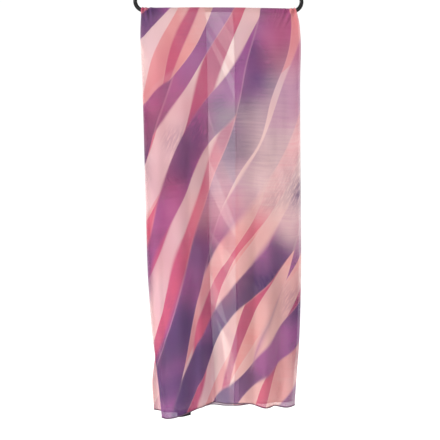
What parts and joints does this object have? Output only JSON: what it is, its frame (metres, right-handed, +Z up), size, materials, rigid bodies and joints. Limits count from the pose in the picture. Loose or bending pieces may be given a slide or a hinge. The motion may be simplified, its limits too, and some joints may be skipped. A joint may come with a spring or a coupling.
{
  "type": "chiffon scarf on a tubular hanger",
  "caption": "Sheer printed chiffon scarf, long sides folded in, hung in half over the bar of a plain tubular hanger whose fixed hook goes over a rail.",
  "frame": {"origin": "inside the crown of the hanger's hook, where the hook rests on a rail", "axes": "+Z up; +X to the right seen from the front; the front of the scarf faces -Y; the scarf hangs down along -Z"},
  "size_m": [0.4176, 0.0624, 1.2164],
  "materials": {
    "hanger_plastic": "black, moulded, glossy",
    "chiffon": "sheer plain weave, printed in blush, rose, mauve and plum, soft sheen",
    "rolled_hem": "narrow rolled hem, stitched",
    "black_ribbon": "bare woven ribbon"
  },
  "bodies": {
    "root": {"hanger": "hanger_plastic", "front_fall": "chiffon", "turn_over_bar": "chiffon", "back_fall": "chiffon", "front_hem": "rolled_hem", "back_hem": "rolled_hem", "left_hem_front": "rolled_hem", "left_hem_turn": "rolled_hem", "left_hem_back": "rolled_hem", "right_hem_front": "rolled_hem", "right_hem_turn": "rolled_hem", "right_hem_back": "rolled_hem", "loop_label": "black_ribbon"}
  },
  "joints": []
}
